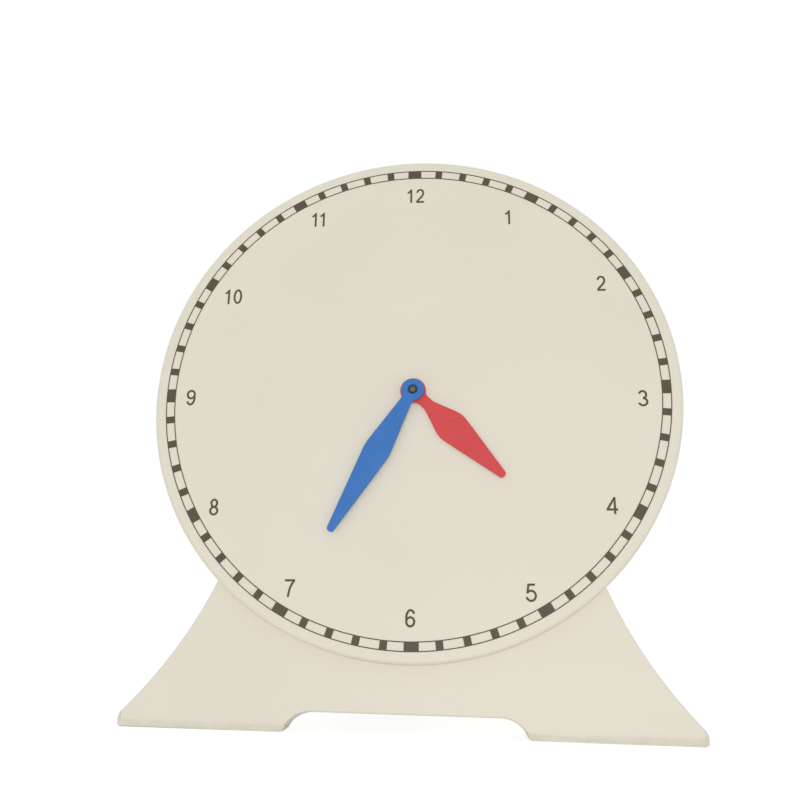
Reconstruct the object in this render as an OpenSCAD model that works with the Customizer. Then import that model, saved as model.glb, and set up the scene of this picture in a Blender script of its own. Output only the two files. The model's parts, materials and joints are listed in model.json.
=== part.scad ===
// Classroom demonstration clock: a round moulded dial on a flared stand that
// leans back on a folding rear leg. Two loose hands turn on one centre screw.
// Face frame: x to the right, y up along the board, z out towards the class.

/* [Dial] */
// Outside diameter of the dial
dial_d = 200; // [180:1:220]
// Height of the dial centre above the feet, along the board
dial_height = 123.4; // [118:0.1:135]
// Thickness of the dial's front wall and rim
dial_wall = 2.2; // [1.6:0.1:2.8]
// Depth of the dial from its face to the back of its rim
dial_depth = 4.5; // [4:0.1:7]
// Radius of the rounded front edge
dial_edge_r = 1.5; // [1:0.1:4]
// Radius of the ring rib on the back
ring_rib_r = 60; // [40:1:75]
// Thickness of the ribs on the back
rib_t = 1.6; // [1:0.1:2.4]
// How far the dial's ribs stay short of the back of its rim
rib_short = 0.3; // [0.1:0.1:1]
// Number of radial ribs on the back
radial_ribs = 12; // [6:2:16]
// Outside diameter of the pivot boss on the back
pivot_boss_d = 10; // [8:0.5:12]
// How far the pivot boss stands out behind the rim
pivot_boss_out = 1.5; // [0.5:0.1:3]

/* [Minute track] */
// Distance from the dial's outside to the outer printed line
track_margin = 4.25; // [4:0.05:8]
// Width of the track, over both lines
track_w = 3.6; // [2.5:0.1:5]
// Width of each printed line
track_line_w = 0.35; // [0.3:0.05:0.8]
// Width of a minute block
minute_block_w = 2.7; // [1.5:0.1:3.5]
// Width of an hour block
hour_block_w = 5.3; // [4:0.1:6]
// Thickness of the printed layer
print_t = 0.12; // [0.08:0.01:0.3]
// Anticlockwise turn of the print against the stand
print_turn = 1.2; // [-3:0.1:3]

/* [Hands] */
// Reach of the hour hand from the pivot
hour_reach = 47.5; // [40:0.5:55]
// Widest part of the hour hand
hour_shoulder_w = 12.5; // [10:0.5:15]
// Distance of the hour hand's widest part from the pivot
hour_shoulder_at = 20; // [16:0.5:24]
// Radius on the hour hand's shoulders
hour_shoulder_r = 10; // [4:0.5:14]
// Neck width of the hour hand
hour_neck_w = 4.3; // [3.6:0.1:6]
// Distance of the hour hand's neck from the pivot
hour_neck_at = 8.5; // [7:0.5:11]
// Diameter of the hour hand's hub
hour_hub_d = 9.7; // [9:0.1:12]
// Clockwise angle of the hour hand from twelve
hour_angle = 133.8; // [0:0.1:360]
// Reach of the minute hand from the pivot
minute_reach = 61.5; // [50:0.5:75]
// Widest part of the minute hand
minute_shoulder_w = 10.3; // [8:0.1:13]
// Distance of the minute hand's widest part from the pivot
minute_shoulder_at = 26.8; // [22:0.1:34]
// Radius on the minute hand's shoulders
minute_shoulder_r = 18; // [6:0.5:24]
// Neck width of the minute hand
minute_neck_w = 4.4; // [3.4:0.1:5.5]
// Distance of the minute hand's neck from the pivot
minute_neck_at = 5.5; // [5:0.5:9]
// Diameter of the minute hand's hub
minute_hub_d = 8.6; // [8:0.1:11]
// Clockwise angle of the minute hand from twelve
minute_angle = 208; // [0:0.1:360]
// Width of both hands at the tip
tip_w = 2.5; // [2:0.1:4]
// Radius on the tip's corners, as a share of its width
tip_round = 0.5; // [0.2:0.05:0.5]
// Radius in the hands' necks
neck_r = 6; // [2:0.5:8]
// Radius between a hand's hub and its blade
hub_fillet_r = 3; // [1:0.5:4]
// Thickness of both hands
hand_t = 1; // [0.9:0.1:2]

/* [Pivot] */
// Diameter of the pivot screw's shank
pivot_d = 2; // [1.8:0.1:2.6]
// Diameter of the pivot screw's head
pivot_head_d = 3.3; // [3.1:0.1:4.2]
// Height of the pivot screw's head
pivot_head_h = 0.9; // [0.7:0.1:1.6]
// Depth of the seat for the head in the minute hand's hub
head_seat_depth = 0.5; // [0.3:0.1:0.6]
// Gap round the head in its seat
head_seat_gap = 0.15; // [0.1:0.05:0.5]
// Width of the cross recess in the pivot screw
pivot_recess_w = 0.5; // [0.4:0.05:0.7]
// Span of the cross recess in the pivot screw
pivot_recess_span = 2.1; // [1.6:0.1:2.6]
// Depth of the cross recess in the pivot screw
pivot_recess_depth = 0.4; // [0.3:0.1:0.6]
// Diameter of the washers at the front
front_washer_d = 7; // [5.5:0.1:7.6]
// Thickness of the washers at the front
front_washer_t = 0.3; // [0.2:0.1:1]
// Diameter of the flat washer at the back
rear_washer_d = 6; // [5.2:0.1:8]
// Thickness of the flat washer at the back
rear_washer_t = 0.5; // [0.3:0.1:1]
// Diameter of the split washer
spring_washer_d = 4.4; // [4:0.1:5]
// Thickness of the split washer
spring_washer_t = 0.6; // [0.4:0.1:1]
// Width of the slit in the split washer
spring_slit_w = 0.4; // [0.2:0.1:0.8]
// Width of the nut over its flats
nut_flats = 4; // [3.8:0.1:5]
// Thickness of the nut
nut_t = 1.6; // [1.2:0.1:2.4]
// Length of thread past the nut
thread_out = 1; // [0.5:0.1:2.5]

/* [Stand] */
// Width over both feet
foot_span = 204.4; // [190:0.2:225]
// Height of the blunt edge at each foot's tip
foot_edge_h = 4; // [3.5:0.1:7]
// Radius on the upper corner of each foot's tip
foot_tip_r = 4; // [1.5:0.1:5]
// Radius on the lower corners of each foot
foot_toe_r = 1.4; // [0.6:0.1:2]
// Width of the tongue behind the dial
tongue_w = 115.4; // [104:0.2:126]
// Distance from the dial centre down to the tongue's top edge
tongue_drop = 11; // [8:0.5:13]
// Radius on the tongue's top corners
tongue_r = 10; // [6:1:15]
// Thickness of the stand's front wall and skirt
stand_wall = 2.5; // [2:0.1:3.2]
// Depth of the stand from its front to the back of its skirt
stand_depth = 8.5; // [7:0.1:11]
// Thickness of the wall under each foot
foot_wall = 4.6; // [4:0.1:6]
// How far the stand's ribs stay short of the back of its skirt
stand_rib_short = 1; // [0.5:0.1:2]
// Width of the arch between the feet
arch_w = 86.4; // [70:0.2:100]
// Height of the arch
arch_h = 7; // [6.5:0.1:10]
// Radius on the arch's corners
arch_r = 10; // [8:0.5:12]
// Height of the bevel along the feet
foot_bevel_h = 2.6; // [1:0.1:3.2]
// Depth of the bevel along the feet
foot_bevel_d = 1.5; // [0.8:0.1:2]
// Width of the bevel at each foot's outer end
tip_bevel_w = 1.6; // [0.8:0.1:2.4]
// Lean of the board from upright
lean = 15; // [10:0.5:20]

/* [Dial screws] */
// Sideways place of the upper screws
upper_screw_x = 42; // [34:1:46]
// Distance of the upper screws below the dial centre
upper_screw_down = 24; // [20:1:30]
// Sideways place of the lower screws
lower_screw_x = 50; // [40:1:55]
// Distance of the lower screws below the dial centre
lower_screw_down = 64; // [58:1:68]
// Diameter of the screws
screw_d = 2.6; // [2.2:0.1:3]
// Diameter of the screw heads
screw_head_d = 5; // [4.4:0.1:6]
// Height of the screw heads
screw_head_h = 1.8; // [1.4:0.1:2.4]
// Width of the cross recess in the screw heads
screw_recess_w = 0.7; // [0.5:0.1:1]
// Span of the cross recess in the screw heads
screw_recess_span = 3; // [2.4:0.1:3.6]
// Depth of the cross recess in the screw heads
screw_recess_depth = 0.9; // [0.5:0.1:1.2]
// Diameter of the bosses on the dial
screw_boss_d = 8; // [7:0.5:10]
// Depth of dial plastic left in front of a screw hole
screw_skin = 1.2; // [0.8:0.1:1.6]
// Gap between a screw's end and the bottom of its hole
screw_end_gap = 0.4; // [0.1:0.1:0.8]

/* [Rear leg] */
// Distance from the tongue's top edge down to the hinge
hinge_drop = 18; // [16:0.5:26]
// Angle of the open leg from upright
leg_splay = 15; // [12:0.5:18]
// Thickness of the leg
leg_t = 6; // [5:0.1:8]
// Thickness of the leg's web, flanges and ribs
leg_wall = 2.4; // [1.8:0.1:3]
// Number of cross ribs in the leg
leg_ribs = 3; // [2:1:5]
// Width of the leg at the hinge
leg_top_w = 18; // [14:0.5:19]
// Width of the leg at its foot
leg_foot_w = 34; // [26:0.5:40]
// Radius where the leg starts to widen
leg_waist_r = 8; // [4:0.5:12]
// Radius where the leg stops widening
leg_ankle_r = 4; // [2:0.5:8]
// Radius on the heel's corners
heel_r = 1; // [0.5:0.1:2]
// Gap between the folded leg and the stand's skirt
leg_gap = 2; // [1:0.1:4]
// Length of the heel above the hinge
heel_h = 9; // [8.5:0.1:11]
// Distance of the heel's stop in front of the hinge
heel_reach = 6; // [5.4:0.1:6.4]
// Diameter of the hinge pin
pin_d = 3; // [2.5:0.1:3.4]
// Wall round the pin in the leg and in the ears
pin_wall = 3; // [2.5:0.1:3.4]
// Thickness of each hinge ear
ear_t = 3; // [2.4:0.1:4]
// Diameter of the pin's head and its clip
pin_head_d = 5.4; // [4.8:0.1:6.5]
// Thickness of the pin's head
pin_head_t = 1.2; // [0.8:0.1:2]
// Depth of the pin's groove for the clip
groove_depth = 0.3; // [0.2:0.05:0.5]
// Length of the pin past its clip
pin_tail = 1; // [0.5:0.1:2]
// Thickness of the clip
clip_t = 0.6; // [0.4:0.1:1]
// Width of the mouth of the clip
clip_mouth_w = 2.1; // [1.6:0.1:2.2]

/* [Clearances] */
// Radial clearance of a pin or screw in its hole
fit_clear = 0.05; // [0.02:0.01:0.1]
// Clearance between faces that turn on each other
face_clear = 0.05; // [0.02:0.01:0.1]
// Sideways clearance of the leg between its ears
ear_clear = 0.3; // [0.2:0.05:0.6]

/* [Hidden] */
$fn = 96;
// Overshoot of a cut past the face it opens
past = 1;
// Radius of corners that end inside another solid
buried_r = 0.5;
dial_r = dial_d / 2;
dial_hollow_edge_r = max(dial_edge_r - dial_wall, dial_wall / 10);
pivot_r = pivot_d / 2;
pivot_bore_r = pivot_r + fit_clear;

// Stack on the pivot, as heights above the dial's face
hour_back = front_washer_t + face_clear;
spacer_back = hour_back + hand_t + face_clear;
minute_back = spacer_back + front_washer_t + face_clear;
head_back = minute_back + hand_t - head_seat_depth + face_clear;
head_top = head_back + pivot_head_h;
// Stack behind the dial, as depths behind its face
boss_back = dial_depth + pivot_boss_out;
split_front = boss_back + rear_washer_t;
nut_front = split_front + spring_washer_t;
thread_end = nut_front + nut_t + thread_out;

// Stand, as places on the board and depths behind the dial's face
foot_half = foot_span / 2;
tongue_half = tongue_w / 2;
tongue_top = dial_height - tongue_drop;
stand_front = dial_depth;
wall_back = stand_front + stand_wall;
wall_middle = stand_front + stand_wall / 2;
stand_back = stand_front + stand_depth;
toe_depth = stand_front + foot_bevel_d;
// The sides are arcs that stand upright at the tongue's top and end at the foot tips
side_run = foot_half - tongue_half;
side_rise = tongue_top - foot_edge_h;
side_r = (side_run * side_run + side_rise * side_rise) / (2 * side_run);
side_centre = [tongue_half + side_r, tongue_top];
arch_half = arch_w / 2;
arch_centre = [arch_half - arch_r, arch_h - arch_r];

// Hinge and leg
hinge_y = tongue_top - hinge_drop;
hinge_depth = stand_back + leg_gap + leg_t / 2;
open_angle = lean + leg_splay;
knuckle_r = pin_d / 2 + pin_wall;
pin_bore_r = pin_d / 2 + fit_clear;
ear_in = leg_top_w / 2 + ear_clear;
ear_out = ear_in + ear_t;
clip_in = ear_out + face_clear;
groove_r = pin_d / 2 - groove_depth;
stop_depth = hinge_depth - heel_reach;
stop_low = hinge_y + knuckle_r - stand_wall;
hinge_rise = hinge_y * cos(lean) + (toe_depth - hinge_depth) * sin(lean);
leg_length = hinge_rise / cos(leg_splay);

// Origin of the part: on the floor, half-way between the feet's front and the leg's back
front_y = min(foot_bevel_h * sin(lean) + stand_front * cos(lean), toe_depth * cos(lean));
leg_back_y = hinge_y * sin(lean) + hinge_depth * cos(lean)
    + hinge_rise * tan(leg_splay) + leg_t / 2 / cos(leg_splay);
middle_y = (front_y + leg_back_y) / 2;

plastic = [0.89, 0.87, 0.80];
print_ink = [0.30, 0.29, 0.25];
red = [0.84, 0.30, 0.31];
blue = [0.27, 0.46, 0.73];
steel = [0.72, 0.73, 0.74];
brass = [0.72, 0.62, 0.36];
nylon = [0.93, 0.93, 0.90];

// Turns the face frame into the part's frame: leaning back, feet on the floor
module on_board() {
    translate([0, -middle_y, toe_depth * sin(lean)])
        rotate([90 - lean, 0, 0])
            children();
}

// Face frame with its origin at the dial's centre
module on_dial() {
    on_board() translate([0, dial_height, 0]) children();
}

// Everything under the floor
module below_floor() {
    reach = 2 * (dial_height + dial_d);
    translate([-reach / 2, -reach / 2, -reach]) cube(reach);
}

function unit(v) = v / norm(v);

// Material left outside a fillet, between its tangent points and past the sharp corner
module spandrel(centre, r, tangent_a, tangent_b, corner) {
    difference() {
        polygon([centre, tangent_a, corner + past * unit(corner - centre), tangent_b]);
        translate(centre) circle(r);
    }
}

// Polygon with a radius at each corner: corners are [x, y, radius], counter-clockwise
module soft_polygon(corners) {
    count = len(corners);
    points = [for (c = corners) [c[0], c[1]]];
    before = [for (i = [0 : count - 1]) unit(points[(i + count - 1) % count] - points[i])];
    after = [for (i = [0 : count - 1]) unit(points[(i + 1) % count] - points[i])];
    half = [for (i = [0 : count - 1]) acos(before[i] * after[i]) / 2];
    bulges = [for (i = [0 : count - 1]) after[i][0] * before[i][1] - after[i][1] * before[i][0] > 0];
    centres = [for (i = [0 : count - 1])
        points[i] + unit(before[i] + after[i]) * corners[i][2] / sin(half[i])];
    starts = [for (i = [0 : count - 1]) points[i] + before[i] * corners[i][2] / tan(half[i])];
    ends = [for (i = [0 : count - 1]) points[i] + after[i] * corners[i][2] / tan(half[i])];
    difference() {
        union() {
            polygon([for (i = [0 : count - 1]) each [starts[i], ends[i]]]);
            for (i = [0 : count - 1]) if (bulges[i]) intersection() {
                translate(centres[i]) circle(corners[i][2]);
                polygon([starts[i], points[i], ends[i],
                         (starts[i] + ends[i]) / 2 + buried_r * unit(before[i] + after[i])]);
            }
        }
        for (i = [0 : count - 1]) if (!bulges[i]) translate(centres[i]) circle(corners[i][2]);
    }
}

// Corners of a whole outline, from those of its right half listed upwards
function both_halves(half) =
    [each half, for (i = [len(half) - 1 : -1 : 0]) [-half[i][0], half[i][1], half[i][2]]];

// Half section of a disc whose front outer edge is rounded: face at 0, back at -depth
module disc_section(r, depth, edge_r) {
    translate([0, -depth]) square([r - edge_r, depth]);
    translate([0, -depth]) square([r, depth - edge_r]);
    translate([r - edge_r, -edge_r]) intersection() {
        circle(edge_r);
        square(edge_r);
    }
}

// Flat ring lying on the plane z = low
module ring(r_out, r_in, low, t) {
    translate([0, 0, low]) difference() {
        cylinder(h = t, r = r_out);
        translate([0, 0, -past]) cylinder(h = t + 2 * past, r = r_in);
    }
}

// Cross recess for a driver, cut down from the plane z = top
module cross_recess(span, w, depth, top) {
    for (turn = [45, 135]) rotate(turn)
        translate([-span / 2, -w / 2, top - depth]) cube([span, w, depth + past]);
}

// Places of the dial screws, from the dial's centre
module at_dial_screws() {
    for (side = [-1, 1]) {
        translate([side * upper_screw_x, -upper_screw_down, 0]) children();
        translate([side * lower_screw_x, -lower_screw_down, 0]) children();
    }
}

// Dial: a shallow tray with its face to the front and ribs on its back
module dial_plate() {
    rib_back = dial_depth - rib_short;
    rib_root = dial_wall / 2;
    rib_start = pivot_boss_d / 4;
    color(plastic) on_dial() difference() {
        union() {
            rotate_extrude() difference() {
                disc_section(dial_r, dial_depth, dial_edge_r);
                translate([0, -dial_wall])
                    disc_section(dial_r - dial_wall, dial_depth, dial_hollow_edge_r);
            }
            ring(ring_rib_r + rib_t / 2, ring_rib_r - rib_t / 2, -rib_back, rib_back - rib_root);
            for (i = [0 : radial_ribs - 1]) rotate(i * 360 / radial_ribs)
                translate([rib_start, -rib_t / 2, -rib_back])
                    cube([dial_r - rib_root - rib_start, rib_t, rib_back - rib_root]);
            translate([0, 0, -boss_back]) cylinder(h = boss_back - rib_root, d = pivot_boss_d);
            at_dial_screws()
                translate([0, 0, -dial_depth]) cylinder(h = dial_depth - rib_root, d = screw_boss_d);
        }
        translate([0, 0, -boss_back - past]) cylinder(h = boss_back + 2 * past, r = pivot_bore_r);
        at_dial_screws()
            translate([0, 0, -dial_depth - past])
                cylinder(h = dial_depth + past - screw_skin, r = screw_d / 2 + fit_clear);
    }
}

// Printed minute track: two lines joined by sixty blocks, the hour blocks wider
module minute_track() {
    track_out = dial_r - track_margin;
    track_in = track_out - track_w;
    color(print_ink) on_dial() rotate(print_turn) linear_extrude(print_t) {
        difference() {
            circle(track_out);
            circle(track_out - track_line_w);
        }
        difference() {
            circle(track_in + track_line_w);
            circle(track_in);
        }
        for (minute = [0 : 59]) {
            block_w = minute % 5 == 0 ? hour_block_w : minute_block_w;
            rotate(-6 * minute)
                translate([-block_w / 2, track_in + track_line_w / 2])
                    square([block_w, track_w - track_line_w]);
        }
    }
}

// Cut that leaves the stand's two curved sides, moved into the material by inset
module side_cuts(inset) {
    for (side = [0, 1]) mirror([side, 0]) translate(side_centre) circle(side_r + inset);
}

// Cut that rounds the tongue's top corners, moved into the material by inset
module tongue_corner_cuts(inset) {
    r = tongue_r - inset;
    top = tongue_top - inset;
    centre = [side_centre[0] - sqrt(pow(side_r + tongue_r, 2) - pow(tongue_r, 2)), tongue_top - tongue_r];
    corner = [side_centre[0] - sqrt(pow(side_r + inset, 2) - pow(inset, 2)), top];
    for (side = [0, 1]) mirror([side, 0])
        spandrel(centre, r, centre + r * unit(side_centre - centre), [centre[0], top], corner);
}

// Cut that rounds both ends of each foot
module foot_corner_cuts() {
    tip = [foot_half - foot_tip_r, side_centre[1]
           - sqrt(pow(side_r + foot_tip_r, 2) - pow(side_centre[0] - foot_half + foot_tip_r, 2))];
    toe = [foot_half - foot_toe_r, foot_toe_r];
    inner_toe = [arch_centre[0] + sqrt(pow(arch_r + foot_toe_r, 2) - pow(foot_toe_r - arch_centre[1], 2)),
                 foot_toe_r];
    inner_corner = [arch_centre[0] + sqrt(pow(arch_r, 2) - pow(arch_centre[1], 2)), 0];
    for (side = [0, 1]) mirror([side, 0]) {
        spandrel(tip, foot_tip_r, [foot_half, tip[1]], tip + foot_tip_r * unit(side_centre - tip),
                 [foot_half, foot_edge_h]);
        spandrel(toe, foot_toe_r, [toe[0], 0], [foot_half, toe[1]], [foot_half, 0]);
        spandrel(inner_toe, foot_toe_r, inner_toe + foot_toe_r * unit(arch_centre - inner_toe),
                 [inner_toe[0], 0], inner_corner);
    }
}

// Arch between the feet, grown by inset
module arch(inset) {
    r = arch_r + inset;
    half = arch_half + inset;
    top = arch_h + inset;
    translate([-half, arch_centre[1] - arch_w]) square([2 * half, arch_w]);
    translate([-arch_centre[0], arch_centre[1]]) square([2 * arch_centre[0], r]);
    for (side = [0, 1]) mirror([side, 0]) translate(arch_centre) circle(r);
}

// Outline of the stand, seen from the front
module stand_outline() {
    difference() {
        translate([-foot_half, 0]) square([foot_span, tongue_top]);
        side_cuts(0);
        arch(0);
        tongue_corner_cuts(0);
        foot_corner_cuts();
    }
}

// Hollow of the stand's shell, seen from the back
module stand_hollow() {
    difference() {
        translate([stand_wall - foot_half, foot_wall])
            square([foot_span - 2 * stand_wall, tongue_top - stand_wall - foot_wall]);
        side_cuts(stand_wall);
        arch(stand_wall);
        tongue_corner_cuts(stand_wall);
    }
}

// Solid from one depth behind the face to another, with a flat outline
module between_depths(near, far) {
    translate([0, 0, -far]) linear_extrude(far - near) children();
}

// Solid of constant section along x, between two places: section is drawn as (y, z)
module along_x(from, to) {
    translate([from, 0, 0]) rotate([90, 0, 90]) linear_extrude(to - from) children();
}

// Round-ended hinge lug seen from its side, from the wall to round the pin
module ear_section() {
    translate([hinge_y, -hinge_depth]) circle(knuckle_r);
    translate([hinge_y - knuckle_r, -hinge_depth])
        square([2 * knuckle_r, hinge_depth - wall_middle]);
}

// Stand: a moulded shell open to the back, with ribs, hinge ears and a stop for the leg
module stand() {
    rib_back = stand_back - stand_rib_short;
    rib_low = arch_h + stand_wall / 2;
    color(plastic) difference() {
        on_board() difference() {
            union() {
                difference() {
                    between_depths(stand_front, stand_back) stand_outline();
                    between_depths(wall_back, stand_back + past) stand_hollow();
                }
                // Upright ribs under the ears
                for (side = [0, 1]) mirror([side, 0, 0])
                    translate([ear_in, rib_low, -rib_back])
                        cube([ear_t, hinge_y - rib_low, rib_back - wall_middle]);
                // Cross rib between the sides
                intersection() {
                    between_depths(wall_middle, rib_back) stand_outline();
                    translate([-foot_half, (hinge_y - rib_t) / 2, -rib_back])
                        cube([foot_span, rib_t, rib_back]);
                }
                // Hinge ears
                along_x(-ear_out, -ear_in) ear_section();
                along_x(ear_in, ear_out) ear_section();
                // Stop for the leg's heel
                translate([-ear_out, stop_low, -stop_depth])
                    cube([2 * ear_out, hinge_y + heel_h - stop_low, stop_depth - wall_middle]);
            }
            // Hole for the hinge pin
            translate([-ear_out - past, hinge_y, -hinge_depth])
                rotate([0, 90, 0])
                    cylinder(h = 2 * (ear_out + past), r = pin_bore_r);
            // Holes for the dial screws
            translate([0, dial_height, 0]) at_dial_screws()
                translate([0, 0, -stand_back])
                    cylinder(h = stand_back, r = screw_d / 2 + fit_clear);
            // Bevel along the front of the feet
            along_x(-foot_half - past, foot_half + past)
                polygon([[foot_bevel_h, -stand_front], [foot_bevel_h, past],
                         [-past, past], [-past, -toe_depth], [0, -toe_depth]]);
            // Bevel at the outer end of each foot
            for (side = [0, 1]) mirror([side, 0, 0])
                translate([foot_half, tongue_top, 0]) rotate([90, 0, 0]) linear_extrude(tongue_top + past)
                    polygon([[-tip_bevel_w, -stand_front], [0, -toe_depth], [past, -toe_depth],
                             [past, past], [-tip_bevel_w, past]]);
        }
        below_floor();
    }
}

// Four screws that hold the dial to the stand, from behind
module dial_screws() {
    screw_end = screw_skin + screw_end_gap;
    color(steel) on_dial() at_dial_screws() translate([0, 0, -wall_back]) {
        cylinder(h = wall_back - screw_end, d = screw_d);
        rotate([180, 0, 0]) difference() {
            translate([0, 0, screw_head_h])
                rotate_extrude() disc_section(screw_head_d / 2, screw_head_h, screw_head_h / 2);
            cross_recess(screw_recess_span, screw_recess_w, screw_recess_depth, screw_head_h);
        }
    }
}

// Outline of a hand pointing to twelve: a blade on a round hub, with fillets between them
module hand_outline(reach, shoulder_w, shoulder_at, shoulder_r, neck_w, neck_at, hub_r) {
    neck = neck_w / 2;
    half = [[neck, 0, buried_r],
            [neck, neck_at, neck_r],
            [shoulder_w / 2, shoulder_at, shoulder_r],
            [tip_w / 2, reach, tip_w * tip_round]];
    fillet_x = neck + hub_fillet_r;
    fillet = [fillet_x, sqrt(pow(hub_r + hub_fillet_r, 2) - pow(fillet_x, 2))];
    difference() {
        union() {
            soft_polygon(both_halves(half));
            circle(hub_r);
            polygon([[0, 0], fillet, [-fillet[0], fillet[1]]]);
        }
        for (side = [0, 1]) mirror([side, 0]) translate(fillet) circle(hub_fillet_r);
    }
}

// Hole through a hand for the pivot screw
module hand_bore() {
    translate([0, 0, -past]) cylinder(h = hand_t + 2 * past, r = pivot_bore_r);
}

// Hour hand, the lower one
module hour_hand() {
    color(red) on_dial() translate([0, 0, hour_back]) rotate(-hour_angle) difference() {
        linear_extrude(hand_t)
            hand_outline(hour_reach, hour_shoulder_w, hour_shoulder_at, hour_shoulder_r,
                         hour_neck_w, hour_neck_at, hour_hub_d / 2);
        hand_bore();
    }
}

// Minute hand, the upper one, with a seat for the screw's head
module minute_hand() {
    color(blue) on_dial() translate([0, 0, minute_back]) rotate(-minute_angle) difference() {
        linear_extrude(hand_t)
            hand_outline(minute_reach, minute_shoulder_w, minute_shoulder_at, minute_shoulder_r,
                         minute_neck_w, minute_neck_at, minute_hub_d / 2);
        hand_bore();
        translate([0, 0, hand_t - head_seat_depth])
            cylinder(h = head_seat_depth + past, r = pivot_head_d / 2 + head_seat_gap);
    }
}

// Screw that both hands turn on
module pivot_screw() {
    color(brass) on_dial() difference() {
        union() {
            translate([0, 0, -thread_end]) cylinder(h = thread_end + head_back, r = pivot_r);
            translate([0, 0, head_top])
                rotate_extrude() disc_section(pivot_head_d / 2, pivot_head_h, pivot_head_h / 2);
        }
        cross_recess(pivot_recess_span, pivot_recess_w, pivot_recess_depth, head_top);
    }
}

// Washer between the dial and the hour hand
module front_washer() {
    color(nylon) on_dial() ring(front_washer_d / 2, pivot_bore_r, 0, front_washer_t);
}

// Washer between the two hands
module hand_spacer() {
    color(nylon) on_dial() ring(front_washer_d / 2, pivot_bore_r, spacer_back, front_washer_t);
}

// Flat washer behind the dial
module rear_washer() {
    color(steel) on_dial() ring(rear_washer_d / 2, pivot_bore_r, -split_front, rear_washer_t);
}

// Split washer that keeps the hands' drag
module spring_washer() {
    color(steel) on_dial() difference() {
        ring(spring_washer_d / 2, pivot_bore_r, -nut_front, spring_washer_t);
        translate([0, -spring_slit_w / 2, -nut_front - past])
            cube([spring_washer_d, spring_slit_w, spring_washer_t + 2 * past]);
    }
}

// Hexagon nut on the pivot screw
module pivot_nut() {
    color(steel) on_dial() translate([0, 0, -nut_front - nut_t]) difference() {
        cylinder(h = nut_t, r = nut_flats / 2 / cos(30), $fn = 6);
        translate([0, 0, -past]) cylinder(h = nut_t + 2 * past, r = pivot_bore_r);
    }
}

// Leg seen from behind, with its hinge at the origin and its foot below the floor
module leg_outline(inset) {
    top = leg_top_w / 2 - inset;
    foot = leg_foot_w / 2 - inset;
    half = [[foot, -leg_length - leg_t, buried_r],
            [foot, leg_wall - leg_length + leg_t, leg_ankle_r],
            [top, -2 * knuckle_r, leg_waist_r],
            [top, heel_h, heel_r]];
    soft_polygon(both_halves(half));
}

// Rear leg: a channel with cross ribs, shown open with its heel on the stop
module rear_leg() {
    rib_pitch = leg_length / (leg_ribs + 1);
    hollow_length = leg_length - leg_t - knuckle_r - leg_wall;
    heel_depth = stop_depth + face_clear;
    color(plastic) difference() {
        on_board() difference() {
            translate([0, hinge_y, -hinge_depth]) rotate([open_angle, 0, 0]) difference() {
                union() {
                    translate([0, 0, -leg_t / 2]) linear_extrude(leg_t) leg_outline(0);
                    along_x(-leg_top_w / 2, leg_top_w / 2) circle(knuckle_r);
                }
                // Hollow of the channel, open to the back
                translate([0, 0, -leg_t / 2 - past]) linear_extrude(leg_t + past - leg_wall) difference() {
                    intersection() {
                        leg_outline(leg_wall);
                        translate([-leg_foot_w / 2, leg_t - leg_length]) square([leg_foot_w, hollow_length]);
                    }
                    for (i = [1 : leg_ribs]) translate([-leg_foot_w / 2, -i * rib_pitch - leg_wall / 2])
                        square([leg_foot_w, leg_wall]);
                }
                // Hole for the hinge pin
                translate([-leg_top_w / 2 - past, 0, 0]) rotate([0, 90, 0])
                    cylinder(h = leg_top_w + 2 * past, r = pin_bore_r);
            }
            // Flat on the heel where it meets the stop
            translate([-leg_foot_w, hinge_y, -heel_depth])
                cube([2 * leg_foot_w, 3 * heel_h, heel_depth + past]);
        }
        below_floor();
    }
}

// Turns the frame so that z runs along the hinge, to the right
module on_hinge() {
    on_board() translate([0, hinge_y, -hinge_depth]) rotate([0, 90, 0]) children();
}

// Hinge pin with a head on the left and a groove for its clip on the right
module hinge_pin() {
    tail_end = clip_in + clip_t + face_clear + pin_tail;
    color(steel) on_hinge() difference() {
        union() {
            translate([0, 0, -ear_out]) cylinder(h = ear_out + tail_end, d = pin_d);
            translate([0, 0, -ear_out - pin_head_t]) cylinder(h = pin_head_t, d = pin_head_d);
        }
        ring(pin_d, groove_r, clip_in - face_clear, clip_t + 2 * face_clear);
    }
}

// Spring clip in the pin's groove
module pin_clip() {
    color(steel) on_hinge() difference() {
        ring(pin_head_d / 2, groove_r + fit_clear, clip_in, clip_t);
        translate([0, -clip_mouth_w / 2, clip_in - past])
            cube([pin_head_d, clip_mouth_w, clip_t + 2 * past]);
    }
}

dial_plate();
minute_track();
stand();
dial_screws();
hour_hand();
minute_hand();
pivot_screw();
front_washer();
hand_spacer();
rear_washer();
spring_washer();
pivot_nut();
rear_leg();
hinge_pin();
pin_clip();
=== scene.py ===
"""Looks of a classroom demonstration clock: its mouldings, print, hardware, finishes, light and camera."""
import json
import math

import bmesh
import bpy
from mathutils import Matrix, Vector


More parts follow.
